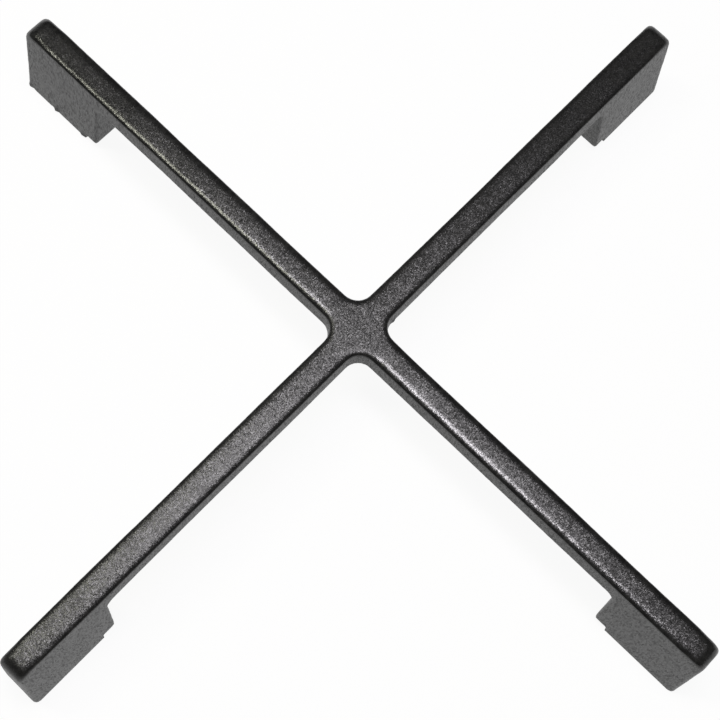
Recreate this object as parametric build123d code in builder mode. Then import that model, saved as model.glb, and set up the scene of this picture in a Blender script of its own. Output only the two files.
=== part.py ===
from build123d import *
import os
from math import radians, tan

# A hob's pan support: a cross of four arms on four feet, cast in iron as one piece.
# It stands on the plane z = 0 with the middle of the cross over the origin.

# Driving dimensions, in millimetres and degrees
height = 40.0  # from the hob up to the pan
arm_reach = 150.0  # from the middle of the cross to the end of an arm, along its top
arm_width = 9.2  # across the top of an arm, before its edges are rounded
arm_depth = 8.8  # from the top of an arm down to its underside
draft = 4.5  # lean of every wall, so that the casting leaves its mould
crossing_radius = 5.5  # in the corners between the arms, at their underside
end_radius = 4.5  # where the top rolls over the end of an arm
edge_radius = 1.7  # along the top edges, over the ends and down the corners of the feet
foot_length = 35.0  # of a foot along its arm, at the hob, with its step
foot_fillet = 3.5  # where the underside of an arm runs down into its foot
step_length = 5.0  # of the step cut into the inner end of each sole, along the arm
step_height = 3.0  # of that step, above the hob
lower_edge_radius = 0.8  # along the underside of the arms and down the inner corners of the feet
sole_edge_radius = 0.6  # around the soles and the steps

# What the lean of the walls adds to the cross, at the underside of the arms and at the hob
underside = height - arm_depth
arm_spread = arm_depth * tan(radians(draft))
foot_spread = height * tan(radians(draft))
foot_inner = arm_reach + foot_spread - foot_length

with BuildPart() as pan_support:
    # Two bars that cross on the hob, with walls that lean in on the way up
    with BuildSketch(Plane.XY):
        Rectangle(2 * (arm_reach + foot_spread), arm_width + 2 * foot_spread)
        Rectangle(arm_width + 2 * foot_spread, 2 * (arm_reach + foot_spread))
    extrude(amount=underside, taper=draft)

    # Room for the burner, which leaves only a foot at each end
    with BuildSketch(Plane.XY):
        Rectangle(2 * foot_inner, 2 * foot_inner)
    extrude(amount=underside, taper=draft, mode=Mode.SUBTRACT)

    # The step at the inner end of each sole
    with BuildSketch(Plane.XY):
        Rectangle(2 * (foot_inner + step_length), 2 * (foot_inner + step_length))
    extrude(amount=step_height, mode=Mode.SUBTRACT)

    # The arms, whose walls carry on from those of the feet
    with BuildSketch(Plane.XY.offset(underside)) as cross:
        Rectangle(2 * (arm_reach + arm_spread), arm_width + 2 * arm_spread)
        Rectangle(arm_width + 2 * arm_spread, 2 * (arm_reach + arm_spread))
        fillet(cross.vertices().sort_by_distance((0, 0, underside))[:4], crossing_radius)
    extrude(amount=arm_depth, taper=draft)

    # The ends of the top, rolled over
    top_edges = pan_support.faces().sort_by(Axis.Z)[-1].edges()
    fillet(top_edges.sort_by_distance((0, 0, height))[-4:], end_radius)

    # One soft edge that runs along the arms, over their ends and down the corners of the feet
    top_edges = pan_support.faces().sort_by(Axis.Z)[-1].edges()
    fillet(top_edges.sort_by_distance((0, 0, height))[:-4], edge_radius)

    # The underside of the arms, run down into the feet
    underside_edges = pan_support.faces().filter_by(Axis.Z).group_by(Axis.Z)[2].edges()
    fillet(underside_edges.sort_by_distance((0, 0, underside))[-4:], foot_fillet)

    # The lower edges of the arms, and the inner corners of the feet that carry them on
    underside_edges = pan_support.faces().filter_by(Axis.Z).group_by(Axis.Z)[2].edges()
    fillet(underside_edges.sort_by_distance((0, 0, underside))[:-4], lower_edge_radius)

    # The edges around the soles and the steps, all but the inside corner of each step
    soles, steps = pan_support.faces().filter_by(Axis.Z).group_by(Axis.Z)[:2]
    step_edges = steps.edges().sort_by_distance((0, 0, step_height))[:-4]
    fillet(soles.edges() + step_edges, sole_edge_radius)

pan_support.part.label = "pan_support"

os.makedirs("parts", exist_ok=True)
export_step(pan_support.part, "parts/pan_support.step")
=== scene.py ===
"""Dresses a hob's pan support: one iron casting with a fine cast skin under matt black enamel."""

import logging
from dataclasses import dataclass, field
from enum import Enum

import bmesh
import bpy
from mathutils import Matrix, Vector


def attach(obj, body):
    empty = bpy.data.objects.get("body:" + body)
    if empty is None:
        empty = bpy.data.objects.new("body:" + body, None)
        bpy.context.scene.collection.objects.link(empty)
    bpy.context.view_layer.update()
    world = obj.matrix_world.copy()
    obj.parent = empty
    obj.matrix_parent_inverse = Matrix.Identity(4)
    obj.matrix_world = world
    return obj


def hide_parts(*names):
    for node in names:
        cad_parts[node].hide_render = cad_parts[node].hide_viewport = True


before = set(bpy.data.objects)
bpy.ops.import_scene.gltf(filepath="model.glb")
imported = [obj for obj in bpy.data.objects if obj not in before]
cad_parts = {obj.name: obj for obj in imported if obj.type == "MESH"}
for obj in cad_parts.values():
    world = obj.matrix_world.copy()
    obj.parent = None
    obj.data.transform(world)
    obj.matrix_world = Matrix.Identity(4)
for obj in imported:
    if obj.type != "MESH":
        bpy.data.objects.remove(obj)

LOG = logging.getLogger("pan_support")
MM = 0.001

Socket = bpy.types.NodeSocket
Colour = tuple[float, float, float, float]
Point = tuple[float, float, float]
Span = tuple[float, float]

WHOLE: Span = (0.0, 1.0)  # a share, from none to all
TINY = 1e-9  # square metres, which keep a division away from zero


class Slot(Enum):
    """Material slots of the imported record."""

    ENAMELLED_IRON = "enamelled_iron"


class Piece(Enum):
    """Names of the pieces that this file makes."""

    CASTING = "pan_support_casting"
    FLOOR = "pale_floor"


class NodeSheet:
    """A node tree with short calls to add and join its nodes."""

    def __init__(self, tree: bpy.types.NodeTree) -> None:
        """Starts on an empty tree.

        Args:
            tree: the shader or geometry tree to fill.
        """
        self.tree = tree
        self.tree.nodes.clear()

    def add(self, kind: str, **settings: object) -> bpy.types.Node:
        """Adds a node.

        Args:
            kind: Blender's name of the node's type.
            settings: properties to set on the node.

        Returns:
            The new node.
        """
        node = self.tree.nodes.new(kind)
        for name, value in settings.items():
            setattr(node, name, value)
        return node

    def join(self, source: Socket, target: Socket) -> None:
        """Links an output to an input."""
        self.tree.links.new(source, target)

    def feed(self, term: object, socket: Socket) -> None:
        """Puts a number into an input, or links a socket to it."""
        if isinstance(term, Socket):
            self.join(term, socket)
        else:
            socket.default_value = term

    def math(self, operation: str, *terms: object) -> Socket:
        """Adds a Math node.

        Args:
            operation: Blender's name of the operation.
            terms: sockets or numbers, in order.

        Returns:
            The node's result.
        """
        node = self.add("ShaderNodeMath", operation=operation)
        for socket, term in zip(node.inputs, terms):
            self.feed(term, socket)
        return node.outputs[0]

    def vector(self, operation: str, *terms: object) -> Socket:
        """Adds a Vector Math node.

        Args:
            operation: Blender's name of the operation.
            terms: sockets or vectors, in order.

        Returns:
            The node's vector.
        """
        node = self.add("ShaderNodeVectorMath", operation=operation)
        for socket, term in zip(node.inputs, terms):
            self.feed(term, socket)
        return node.outputs["Vector"]

    def split(self, vector: Socket) -> dict[str, Socket]:
        """Takes a vector apart.

        Args:
            vector: the vector.

        Returns:
            Its X, Y and Z.
        """
        node = self.add("ShaderNodeSeparateXYZ")
        self.join(vector, node.inputs["Vector"])
        return {axis: node.outputs[axis] for axis in "XYZ"}

    def ramp(self, value: object, span: Span, start: object = 0.0, end: object = 1.0) -> Socket:
        """Adds a smooth step from one value to another.

        Args:
            value: what is measured.
            span: the measures at which the step starts and ends.
            start: the result below the span.
            end: the result above it.

        Returns:
            The node's result.
        """
        node = self.add("ShaderNodeMapRange", interpolation_type="SMOOTHSTEP")
        for name, term in zip(("Value", "From Min", "From Max", "To Min", "To Max"), (value, *span, start, end)):
            self.feed(term, node.inputs[name])
        return node.outputs["Result"]

    def noise(self, vector: Socket, scale: object, layers: float, seed: object) -> Socket:
        """Adds a noise.

        Args:
            vector: where the noise is read.
            scale: how many swells it has to the metre.
            layers: how many finer layers it has.
            seed: which noise it is.

        Returns:
            The noise, from 0 to 1.
        """
        node = self.add("ShaderNodeTexNoise", noise_dimensions="4D")
        for name, term in (("Vector", vector), ("Scale", scale), ("Detail", layers), ("W", seed)):
            self.feed(term, node.inputs[name])
        return node.outputs[0]

    def grains(self, vector: Socket, size: float) -> Socket:
        """Adds a surface of grains that lie side by side.

        Args:
            vector: where the grains are read.
            size: width of a grain, in metres.

        Returns:
            A random colour for each grain.
        """
        node = self.add("ShaderNodeTexVoronoi", feature="F1")
        node.inputs["Scale"].default_value = 1.0 / size
        self.join(vector, node.inputs["Vector"])
        return node.outputs["Color"]

    def mix(self, share: Socket, first: object, second: object) -> Socket:
        """Mixes two colours.

        Args:
            share: how much of the second there is.
            first: a colour or a socket.
            second: a colour or a socket.

        Returns:
            The mixed colour.
        """
        node = self.add("ShaderNodeMix", data_type="RGBA")
        for name, term in (("Factor", share), ("A", first), ("B", second)):
            self.feed(term, node.inputs[name])
        return node.outputs["Result"]

    def across(self, east: Socket, north: Socket) -> Socket:
        """Measures how far a place is from the middle line of the nearest arm, smoothly over the crossing.

        Args:
            east: the place along one pair of arms.
            north: the place along the other pair.

        Returns:
            The distance, in metres.
        """
        east, north = (self.math("MULTIPLY", way, way) for way in (east, north))
        both = self.math("ADD", self.math("ADD", east, north), TINY)
        return self.math("SQRT", self.math("DIVIDE", self.math("MULTIPLY", east, north), both))


class GeometrySheet(NodeSheet):
    """A Geometry Nodes tree with named inputs, which changes a mesh and gives it a material."""

    def __init__(self, name: str, kinds: dict[str, str]) -> None:
        """Makes the tree and its inputs.

        Args:
            name: the tree's name.
            kinds: the kind of each named input, such as Float.
        """
        super().__init__(bpy.data.node_groups.new(name, "GeometryNodeTree"))
        face = self.tree.interface
        for way in ("INPUT", "OUTPUT"):
            face.new_socket("Geometry", in_out=way, socket_type="NodeSocketGeometry")
        self.inputs = {label: face.new_socket(label, in_out="INPUT", socket_type=f"NodeSocket{kind}").identifier
                       for label, kind in {**kinds, "Finish": "Material"}.items()}
        self.given = self.add("NodeGroupInput").outputs

    def close(self, geometry: Socket) -> None:
        """Ends the tree with a plain mesh in its finish.

        Args:
            geometry: what the tree has made.
        """
        real = self.add("GeometryNodeRealizeInstances")
        self.join(geometry, real.inputs["Geometry"])
        painted = self.add("GeometryNodeSetMaterial")
        self.join(real.outputs["Geometry"], painted.inputs["Geometry"])
        self.join(self.given["Finish"], painted.inputs["Material"])
        out = self.add("NodeGroupOutput")
        self.join(painted.outputs["Geometry"], out.inputs["Geometry"])

    def put_on(self, work: bpy.types.Object, values: dict[str, object]) -> None:
        """Adds the tree to an object, as a modifier.

        Args:
            work: the object.
            values: what each named input is set to.
        """
        modifier = work.modifiers.new(self.tree.name, "NODES")
        modifier.node_group = self.tree
        for label, value in values.items():
            modifier[self.inputs[label]] = value


@dataclass(frozen=True)
class BlackEnamel:
    """Thin matt black enamel, fired over the grain of a sand casting.

    The top has small tilted grains that sparkle, and the walls have coarser ones, drawn upwards by the mould. The edges
    of the two arms along Y are rubbed smoother. Lengths are in metres and tilts are slopes.
    """

    name: str = "matt_black_enamel"

    # Colour, and the swells that mottle it
    deep: Colour = (0.007, 0.007, 0.007, 1.0)
    rubbed: Colour = (0.02, 0.02, 0.019, 1.0)
    grain: float = 1.6 * MM
    grain_layers: float = 2.0
    grain_seed: float = 3.0
    grain_share: float = 0.6
    cloud: float = 9.0 * MM
    cloud_layers: float = 3.0
    cloud_seed: float = 11.0
    mottled_colour: Span = (0.38, 0.66)
    mottled_gloss: Span = (0.3, 0.7)

    # Sand grains, by width and tilt
    sand: float = 0.3 * MM
    sand_tilt: float = 0.185
    edge_tilt: float = 0.11
    wall_sand: float = 0.45 * MM
    wall_draw: float = 0.3
    wall_tilt: float = 0.5

    # Bump of the mottling
    relief: float = 0.14 * MM
    bump: float = 0.15
    wall_bump: float = 1.0

    # Roughness
    glossy: float = 0.295
    matt: float = 0.375
    edge: float = 0.23
    wall: float = 0.42

    # Strength of reflection, and how much it differs from grain to grain
    shine: float = 0.46
    edge_shine: float = 0.63
    wall_shine: float = 0.45
    shine_share: float = 0.35

    # Where an edge is, aside of an arm's middle line and away from the crossing, and where a wall turns into top
    edge_aside: Span = (1.4 * MM, 2.9 * MM)
    edge_along: Span = (7.0 * MM, 14.0 * MM)
    top_facing: Span = (0.1, 0.55)

    def material(self) -> bpy.types.Material:
        """Makes the enamel's shader.

        Returns:
            The material.
        """
        made = bpy.data.materials.new(self.name)
        made.use_nodes = True
        sheet = NodeSheet(made.node_tree)
        place = sheet.add("ShaderNodeTexCoord").outputs["Object"]
        outward = sheet.add("ShaderNodeTexCoord").outputs["Normal"]
        facing = sheet.split(outward)["Z"]
        edge = self._edge(sheet, place)
        grain = sheet.noise(place, 1.0 / self.grain, self.grain_layers, self.grain_seed)
        cloud = sheet.noise(place, 1.0 / self.cloud, self.cloud_layers, self.cloud_seed)
        mottle = sheet.math("ADD", sheet.math("MULTIPLY", grain, self.grain_share),
                            sheet.math("MULTIPLY", cloud, 1.0 - self.grain_share))
        sand = self._sand(sheet, place, facing)

        shader = sheet.add("ShaderNodeBsdfPrincipled")
        colour = sheet.mix(sheet.ramp(mottle, self.mottled_colour), self.deep, self.rubbed)
        sheet.join(colour, shader.inputs["Base Color"])
        gloss = sheet.ramp(mottle, self.mottled_gloss, self.matt, self.glossy)
        sheet.join(self._by_place(sheet, facing, edge, gloss, self.edge, self.wall), shader.inputs["Roughness"])
        shine = self._by_place(sheet, facing, edge, self.shine, self.edge_shine, self.wall_shine)
        luck = sheet.ramp(sheet.split(sand)["Z"], WHOLE, 1.0 - self.shine_share, 1.0 + self.shine_share)
        sheet.join(sheet.math("MULTIPLY", shine, luck), shader.inputs["Specular IOR Level"])

        tilt = self._by_place(sheet, facing, edge, self.sand_tilt, self.edge_tilt, self.wall_tilt)
        lean = sheet.vector("SUBTRACT", sand, (0.5, 0.5, 0.5))
        tilted = sheet.vector("NORMALIZE", sheet.vector("MULTIPLY_ADD", lean, tilt, outward))
        relief = sheet.add("ShaderNodeBump")
        sheet.join(sheet.ramp(facing, self.top_facing, self.wall_bump, self.bump), relief.inputs["Strength"])
        relief.inputs["Distance"].default_value = self.relief
        sheet.join(grain, relief.inputs["Height"])
        sheet.join(tilted, relief.inputs["Normal"])
        sheet.join(relief.outputs["Normal"], shader.inputs["Normal"])

        out = sheet.add("ShaderNodeOutputMaterial")
        sheet.join(shader.outputs["BSDF"], out.inputs["Surface"])
        return made

    def _edge(self, sheet: NodeSheet, place: Socket) -> Socket:
        """Finds the rubbed edges, on the two arms along Y.

        Args:
            sheet: the shader's tree.
            place: where the surface is.

        Returns:
            The share of edge, from 0 to 1.
        """
        axes = sheet.split(place)
        aside = sheet.across(axes["X"], axes["Y"])
        along = sheet.math("ABSOLUTE", axes["Y"])
        return sheet.math("MULTIPLY", sheet.ramp(aside, self.edge_aside), sheet.ramp(along, self.edge_along))

    def _sand(self, sheet: NodeSheet, place: Socket, facing: Socket) -> Socket:
        """Lays the sand grains, small on the top, and coarser and drawn upwards on the walls.

        Args:
            sheet: the shader's tree.
            place: where the surface is.
            facing: how far the surface faces up.

        Returns:
            A random colour for each grain.
        """
        drawn = sheet.vector("MULTIPLY", place, (1.0, 1.0, self.wall_draw))
        top = sheet.ramp(facing, self.top_facing)
        return sheet.mix(top, sheet.grains(drawn, self.wall_sand), sheet.grains(place, self.sand))

    def _by_place(self, sheet: NodeSheet, facing: Socket, edge: Socket, on_top: object, on_edge: float,
                  on_wall: float) -> Socket:
        """Goes smoothly from a value on the walls to one on the top and one on its rubbed edges.

        Args:
            sheet: the shader's tree.
            facing: how far the surface faces up.
            edge: the share of rubbed edge.
            on_top: the value on the top.
            on_edge: the value on the rubbed edges.
            on_wall: the value on the walls.

        Returns:
            The value at the place.
        """
        return sheet.ramp(facing, self.top_facing, on_wall, sheet.ramp(edge, WHOLE, on_top, on_edge))


@dataclass(frozen=True)
class PaleFloorFinish:
    """A white floor that stays white to the eye and in reflections, and still takes a soft shadow. Its glow is a
    painted pool of light: brightest near the object, dimming to pale grey further out.
    """

    name: str = "white_floor"
    paint: Colour = (0.86, 0.86, 0.86, 1.0)
    white: float = 1.03
    # Painted light: the glow falls from white near the object to far_white far out, over reach
    far_white: float = 0.86
    reach: Span = (0.4, 2.4)
    shadow_share: float = 0.1

    def material(self) -> bpy.types.Material:
        """Makes the floor's shader.

        Returns:
            The material.
        """
        made = bpy.data.materials.new(self.name)
        made.use_nodes = True
        sheet = NodeSheet(made.node_tree)
        paint = sheet.add("ShaderNodeBsdfDiffuse")
        paint.inputs["Color"].default_value = self.paint
        glow = sheet.add("ShaderNodeEmission")
        away = sheet.add("ShaderNodeVectorMath", operation="LENGTH")
        sheet.join(sheet.add("ShaderNodeTexCoord").outputs["Object"], away.inputs[0])
        # Painted pool of light: the glow dims with distance from the object
        light = sheet.ramp(away.outputs["Value"], self.reach, self.white, self.far_white)
        sheet.join(light, glow.inputs["Strength"])
        path = sheet.add("ShaderNodeLightPath")
        seen = sheet.math("MAXIMUM", path.outputs["Is Camera Ray"], path.outputs["Is Glossy Ray"])
        seen = sheet.math("MAXIMUM", seen, path.outputs["Is Transmission Ray"])
        both = sheet.add("ShaderNodeMixShader")
        sheet.join(sheet.math("MULTIPLY", seen, 1.0 - self.shadow_share), both.inputs["Fac"])
        sheet.join(paint.outputs["BSDF"], both.inputs[1])
        sheet.join(glow.outputs["Emission"], both.inputs[2])
        out = sheet.add("ShaderNodeOutputMaterial")
        sheet.join(both.outputs["Shader"], out.inputs["Surface"])
        return made


@dataclass(frozen=True)
class EnamelBeads:
    """A row of small beads, where the enamel ran down a wall and set at its edge."""

    name: str
    first: Point
    spacing: Point
    count: int
    radius: float
    uneven: float = 0.2
    seed: int = 5
    roundness: int = 3

    def grow(self, work: bpy.types.Object, finish: bpy.types.Material) -> None:
        """Joins the beads to a mesh, by a modifier.

        Args:
            work: the object that the beads grow on.
            finish: the beads' material.
        """
        self._tree().put_on(work, {
            "First": self.first, "Spacing": self.spacing, "Count": self.count, "Radius": self.radius,
            "Uneven": self.uneven, "Seed": self.seed, "Finish": finish})
        LOG.info("%s: %d", self.name, self.count)

    def _tree(self) -> GeometrySheet:
        """Makes the node tree that sets the beads in a row.

        Returns:
            The tree.
        """
        sheet = GeometrySheet(self.name, {"First": "Vector", "Spacing": "Vector", "Count": "Int", "Radius": "Float",
                                          "Uneven": "Float", "Seed": "Int"})
        given = sheet.given
        row = sheet.add("GeometryNodeMeshLine", mode="OFFSET")
        sheet.join(given["Count"], row.inputs["Count"])
        sheet.join(given["First"], row.inputs["Start Location"])
        sheet.join(given["Spacing"], row.inputs["Offset"])
        bead = sheet.add("GeometryNodeMeshIcoSphere")
        sheet.join(given["Radius"], bead.inputs["Radius"])
        bead.inputs["Subdivisions"].default_value = self.roundness
        size = sheet.add("FunctionNodeRandomValue", data_type="FLOAT")
        smallest = sheet.math("SUBTRACT", 1.0, given["Uneven"])
        for name, term in (("Min", smallest), ("Max", 1.0), ("Seed", given["Seed"])):
            sheet.feed(term, next(socket for socket in size.inputs if socket.name == name and socket.enabled))
        beads = sheet.add("GeometryNodeInstanceOnPoints")
        sheet.join(row.outputs["Mesh"], beads.inputs["Points"])
        sheet.join(bead.outputs["Mesh"], beads.inputs["Instance"])
        sheet.join(next(socket for socket in size.outputs if socket.enabled), beads.inputs["Scale"])
        both = sheet.add("GeometryNodeJoinGeometry")
        sheet.join(beads.outputs["Instances"], both.inputs["Geometry"])
        sheet.join(given["Geometry"], both.inputs["Geometry"])
        sheet.close(both.outputs["Geometry"])
        return sheet


@dataclass(frozen=True)
class SkinPlace:
    """Where a point of the casting's surface is, as sockets of the skin's tree."""

    spot: Socket
    outward: Socket
    axes: dict[str, Socket]
    east: Socket
    north: Socket
    along: Socket
    aside: Socket
    below: Socket
    sunk: Socket

    @classmethod
    def read(cls, sheet: GeometrySheet) -> "SkinPlace":
        """Adds the nodes that measure the place.

        Args:
            sheet: the skin's tree.

        Returns:
            The place: its axes, its distances along and aside of the arms, its depth below the top, and that depth as
            a share of the crown's.
        """
        spot = sheet.add("GeometryNodeInputPosition").outputs["Position"]
        outward = sheet.add("GeometryNodeInputNormal").outputs["Normal"]
        axes = sheet.split(spot)
        east, north = (sheet.math("ABSOLUTE", axes[axis]) for axis in "XY")
        below = sheet.math("SUBTRACT", sheet.given["Top Height"], axes["Z"])
        return cls(spot, outward, axes, east, north, sheet.math("MAXIMUM", east, north),
                   sheet.across(axes["X"], axes["Y"]), below,
                   sheet.math("DIVIDE", below, sheet.given["Crown Depth"]))


@dataclass
class CastSkin:
    """The casting's surface: a fine even mesh over the CAD solid.

    It has sand grain, a slight waviness, a crown along the arms, top edges that are tighter than the solid's, and a few
    beads of enamel. Lengths are in metres. A fade is a span of shares over which an effect comes or goes.
    """

    node: str = "pan_support"
    voxel: float = 0.64 * MM
    weld: float = 0.001 * MM
    top_height: float = 40.0 * MM

    # Sand grain and waviness, which sink into the top instead of standing on it, and fade towards the soles
    grain_size: float = 1.5 * MM
    grain_depth: float = 0.05 * MM
    grain_layers: float = 2.0
    wave_size: float = 26.0 * MM
    wave_depth: float = 0.16 * MM
    wave_layers: float = 1.0
    seed: float = 7.0
    swell: Span = (0.25, 0.75)
    sink_facing: Span = (0.3, 0.9)
    sink: Span = (0.5, 1.0)
    sole_height: float = 4.0 * MM
    sole_fade: Span = (0.15, 1.0)

    # Crown of the top, which falls with the cube of the distance from an arm's middle line
    crown_length: float = 8.4 * MM
    crown_end: float = 3.4 * MM
    crown_depth: float = 5.0 * MM
    crown_fade: Span = (0.2, 1.0)
    crossing_reach: float = 13.0 * MM
    crossing_fade: Span = (0.45, 1.0)

    # Tightening of the top edges, which pushes the solid's round outwards and lifts it
    tightening: float = 0.6 * MM
    flat_half: float = 3.03 * MM
    wall_half: float = 4.72 * MM
    edge_depth: float = 1.57 * MM
    tight_reach: float = 143.0 * MM
    end_fade: Span = (0.975, 1.015)
    push_fade: Span = (0.6, 1.2)
    lift_start: float = 1.4
    lift_fall: float = 1.2
    lift_fade: Span = (0.0, 0.85)

    finish: BlackEnamel = field(default_factory=BlackEnamel)
    beads: tuple[EnamelBeads, ...] = (
        EnamelBeads("foot_beads", (-7.15 * MM, 151.4 * MM, 1.3 * MM), (0.0, -13.2 * MM, 0.0), 3, 1.2 * MM),
        EnamelBeads("crossing_bead", (11.4 * MM, -4.9 * MM, 32.2 * MM), (0.0, 0.0, 0.0), 1, 0.9 * MM))

    def build(self) -> bpy.types.Object:
        """Makes the casting's mesh from the CAD node's.

        Returns:
            The finished piece, at the origin.
        """
        work = self._merged_copy()
        enamel = self.finish.material()
        for row in self.beads:
            row.grow(work, enamel)
        even = work.modifiers.new("even_mesh", "REMESH")
        even.mode = "VOXEL"
        even.voxel_size = self.voxel
        even.use_smooth_shade = True
        self._tree().put_on(work, {**self._sizes(), "Finish": enamel})
        depsgraph = bpy.context.evaluated_depsgraph_get()
        mesh = bpy.data.meshes.new_from_object(work.evaluated_get(depsgraph), depsgraph=depsgraph)
        bpy.data.objects.remove(work)
        mesh.name = Piece.CASTING.value
        piece = bpy.data.objects.new(Piece.CASTING.value, mesh)
        bpy.context.scene.collection.objects.link(piece)
        return piece

    def dress(self, piece: bpy.types.Object) -> None:
        """Puts the piece in the CAD node's place.

        Args:
            piece: the casting.
        """
        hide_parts(self.node)
        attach(piece, "root")
        LOG.info("%s: %d faces", piece.name, len(piece.data.polygons))

    def _merged_copy(self) -> bpy.types.Object:
        """Copies the CAD node's mesh with its loose triangles joined.

        Returns:
            A working object, which isn't kept.
        """
        mesh = bpy.data.meshes.new("casting_work")
        bm = bmesh.new()
        bm.from_mesh(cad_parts[self.node].data)
        bmesh.ops.remove_doubles(bm, verts=bm.verts, dist=self.weld)
        bm.to_mesh(mesh)
        bm.free()
        work = bpy.data.objects.new("casting_work", mesh)
        bpy.context.scene.collection.objects.link(work)
        return work

    def _sizes(self) -> dict[str, float]:
        """Names the sizes that the skin's tree takes as inputs.

        Returns:
            Each input's name and value.
        """
        return {"Grain Size": self.grain_size, "Grain Depth": self.grain_depth, "Wave Size": self.wave_size,
                "Wave Depth": self.wave_depth, "Seed": self.seed, "Sole Height": self.sole_height,
                "Top Height": self.top_height, "Crown Length": self.crown_length, "Crown End": self.crown_end,
                "Crown Depth": self.crown_depth, "Crossing Reach": self.crossing_reach,
                "Tightening": self.tightening, "Flat Half": self.flat_half, "Wall Half": self.wall_half,
                "Edge Depth": self.edge_depth, "Tight Reach": self.tight_reach}

    def _tree(self) -> GeometrySheet:
        """Makes the node tree that roughens, crowns and tightens the surface.

        Returns:
            The tree.
        """
        sheet = GeometrySheet("cast_skin", dict.fromkeys(self._sizes(), "Float"))
        place = SkinPlace.read(sheet)
        formed = self._formed(sheet, place)
        moved = sheet.add("GeometryNodeSetPosition")
        sheet.join(sheet.given["Geometry"], moved.inputs["Geometry"])
        sheet.join(sheet.vector("MULTIPLY_ADD", place.outward, self._swell(sheet, place), formed),
                   moved.inputs["Offset"])
        sheet.close(moved.outputs["Geometry"])
        return sheet

    def _swell(self, sheet: GeometrySheet, place: SkinPlace) -> Socket:
        """Adds the sand grain and the waviness.

        Args:
            sheet: the skin's tree.
            place: where the surface is.

        Returns:
            How far the surface moves outwards, in metres.
        """
        given = sheet.given
        sink = sheet.ramp(sheet.split(place.outward)["Z"], self.sink_facing, *self.sink)
        shift = 0.0
        for kind, layers in (("Grain", self.grain_layers), ("Wave", self.wave_layers)):
            scale = sheet.math("DIVIDE", 1.0, given[f"{kind} Size"])
            noise = sheet.noise(place.spot, scale, layers, given["Seed"])
            swell = sheet.math("SUBTRACT", sheet.ramp(noise, self.swell), sink)
            shift = sheet.math("MULTIPLY_ADD", swell, given[f"{kind} Depth"], shift)
        above = sheet.math("DIVIDE", place.axes["Z"], given["Sole Height"])
        return sheet.math("MULTIPLY", shift, sheet.ramp(above, self.sole_fade))

    def _crown(self, sheet: GeometrySheet, place: SkinPlace) -> Socket:
        """Adds the crown along the arms, which fades down the walls and at the crossing.

        Args:
            sheet: the skin's tree.
            place: where the surface is.

        Returns:
            How far the surface falls, in metres, below zero.
        """
        given = sheet.given
        aside = sheet.math("POWER", sheet.math("MINIMUM", place.aside, given["Crown End"]), 3.0)
        length = sheet.math("MULTIPLY", sheet.math("POWER", given["Crown Length"], 2.0), -3.0)
        fall = sheet.math("DIVIDE", aside, length)
        fall = sheet.math("MULTIPLY", fall, sheet.ramp(place.sunk, self.crown_fade, 1.0, 0.0))
        out = sheet.math("DIVIDE", place.along, given["Crossing Reach"])
        return sheet.math("MULTIPLY", fall, sheet.ramp(out, self.crossing_fade))

    def _formed(self, sheet: GeometrySheet, place: SkinPlace) -> Socket:
        """Adds the crown, and the tightening of the top edges up to near the arms' ends.

        Args:
            sheet: the skin's tree.
            place: where the surface is.

        Returns:
            How the surface moves, as a vector in metres.
        """
        given = sheet.given
        out = sheet.math("DIVIDE", place.along, given["Tight Reach"])
        most = sheet.math("MULTIPLY", given["Tightening"], sheet.ramp(out, self.end_fade, 1.0, 0.0))
        round_width = sheet.math("SUBTRACT", given["Wall Half"], given["Flat Half"])

        to_wall = sheet.math("DIVIDE", sheet.math("SUBTRACT", given["Wall Half"], place.aside), round_width)
        push = sheet.math("MINIMUM", sheet.math("DIVIDE", place.aside, given["Flat Half"]), to_wall)
        push = sheet.math("MULTIPLY", sheet.math("MAXIMUM", push, 0.0), most)
        push = sheet.math("MULTIPLY", push, sheet.ramp(place.sunk, self.push_fade, 1.0, 0.0))

        fading = sheet.math("SUBTRACT", self.lift_start, sheet.math("MULTIPLY", place.sunk, self.lift_fall))
        lift = sheet.math("MINIMUM", sheet.math("DIVIDE", place.below, given["Edge Depth"]), fading)
        lift = sheet.math("MULTIPLY", sheet.math("MAXIMUM", lift, 0.0), most)
        past_flat = sheet.math("DIVIDE", sheet.math("SUBTRACT", place.aside, given["Flat Half"]), round_width)
        lift = sheet.math("MULTIPLY", lift, sheet.ramp(past_flat, self.lift_fade))

        squares = sheet.math("ADD", *(sheet.math("MULTIPLY", way, way) for way in (place.east, place.north)))
        away = sheet.math("POWER", sheet.math("ADD", squares, TINY), 1.5)
        moved = sheet.add("ShaderNodeCombineXYZ")
        for axis, other in (("X", place.north), ("Y", place.east)):
            way = sheet.math("MULTIPLY", sheet.math("SIGN", place.axes[axis]), sheet.math("POWER", other, 3.0))
            sheet.join(sheet.math("MULTIPLY", sheet.math("DIVIDE", way, away), push), moved.inputs[axis])
        sheet.join(sheet.math("ADD", self._crown(sheet, place), lift), moved.inputs["Z"])
        return moved.outputs["Vector"]


@dataclass(frozen=True)
class SoftLamp:
    """A long soft lamp that faces the object, with its ends in metres and its power in watts."""

    name: str
    start: Point
    end: Point
    width: float
    power: float
    tint: Point

    def hang(self) -> None:
        """Hangs the lamp between its two ends."""
        start, end = Vector(self.start), Vector(self.end)
        light = bpy.data.lights.new(self.name, "AREA")
        light.shape = "RECTANGLE"
        light.size, light.size_y = self.width, (end - start).length
        light.energy = self.power
        light.color = self.tint
        along = (end - start).normalized()
        middle = (start + end) / 2
        facing = (middle - along * middle.dot(along)).normalized()
        across = along.cross(facing)
        lamp = bpy.data.objects.new(self.name, light)
        lamp.matrix_world = Matrix.Translation(middle) @ Matrix((across, along, facing)).transposed().to_4x4()
        bpy.context.scene.collection.objects.link(lamp)


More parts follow.
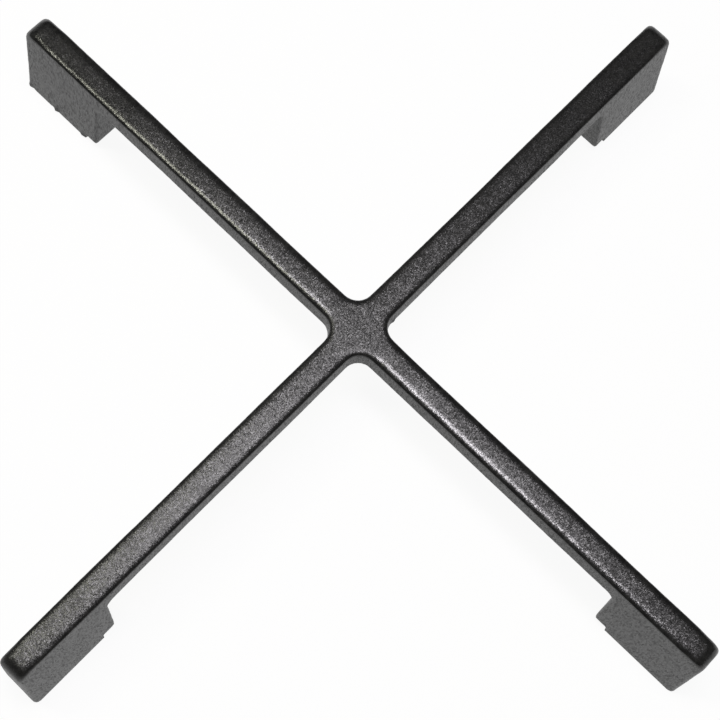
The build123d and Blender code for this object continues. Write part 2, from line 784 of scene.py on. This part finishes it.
@dataclass
class Studio:
    """The white floor, the soft lamps, the dim room and the camera."""

    floor_reach: float = 30.0
    floor: PaleFloorFinish = field(default_factory=PaleFloorFinish)
    lamps: tuple[SoftLamp, ...] = (
        SoftLamp("near_lamp", (0.109, -0.135, 1.1), (0.004, 0.224, 1.1), 0.2, 6.2, (1.02, 0.985, 1.03)),
        SoftLamp("far_lamp", (-0.1, 0.28, 1.1), (-0.29, 0.59, 1.1), 0.15, 3.1, (1.0, 1.0, 0.84)))

    # Light of the room, at the horizon and higher up
    horizon: float = 0.78
    room: float = 0.064
    rise: Span = (0.02, 0.2)

    # The camera, fitted to the photograph's edges
    camera_place: Point = (-119.92 * MM, -75.68 * MM, 501.67 * MM)
    camera_ahead: Point = (0.2341, 0.1415, -0.9618)
    camera_right: Point = (0.6913, -0.7198, 0.0624)
    focal_px: float = 1517.6
    image_px: float = 720.0
    sensor: float = 36.0

    def build(self) -> None:
        """Makes everything around the object."""
        self._floor()
        for lamp in self.lamps:
            lamp.hang()
            LOG.info("%s: %.1f W", lamp.name, lamp.power)
        self._world()
        self._camera()

    def _floor(self) -> None:
        """Lays the floor under the soles."""
        reach = self.floor_reach
        mesh = bpy.data.meshes.new(Piece.FLOOR.value)
        corners = [(-reach, -reach, 0.0), (reach, -reach, 0.0), (reach, reach, 0.0), (-reach, reach, 0.0)]
        mesh.from_pydata(corners, [], [(0, 1, 2, 3)])
        mesh.materials.append(self.floor.material())
        ground = bpy.data.objects.new(Piece.FLOOR.value, mesh)
        bpy.context.scene.collection.objects.link(ground)

    def _world(self) -> None:
        """Makes a dim room that is as pale as the floor near the horizon."""
        world = bpy.data.worlds.new("dim_room")
        world.use_nodes = True
        sheet = NodeSheet(world.node_tree)
        way = sheet.add("ShaderNodeTexCoord").outputs["Generated"]
        rise = sheet.math("ABSOLUTE", sheet.split(way)["Z"])
        back = sheet.add("ShaderNodeBackground")
        back.inputs["Color"].default_value = (1.0, 1.0, 1.0, 1.0)
        sheet.join(sheet.ramp(rise, self.rise, self.horizon, self.room), back.inputs["Strength"])
        out = sheet.add("ShaderNodeOutputWorld")
        sheet.join(back.outputs["Background"], out.inputs["Surface"])
        bpy.context.scene.world = world

    def _camera(self) -> None:
        """Sets the camera where the photograph was taken from."""
        data = bpy.data.cameras.new("camera")
        data.sensor_width = self.sensor
        data.lens = self.sensor * self.focal_px / self.image_px
        ahead = Vector(self.camera_ahead).normalized()
        right = Vector(self.camera_right)
        right = (right - ahead * right.dot(ahead)).normalized()
        up = right.cross(ahead)
        turn = Matrix((right, up, -ahead)).transposed().to_4x4()
        camera = bpy.data.objects.new("camera", data)
        camera.matrix_world = Matrix.Translation(self.camera_place) @ turn
        bpy.context.scene.collection.objects.link(camera)
        bpy.context.scene.camera = camera


def main() -> None:
    """Builds the casting and the studio around it."""
    logging.basicConfig(level=logging.INFO, format="%(message)s")
    bpy.context.scene.view_settings.view_transform = "Standard"
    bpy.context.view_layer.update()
    skin = CastSkin()
    skin.dress(skin.build())
    Studio().build()


if __name__ == "__main__":
    main()
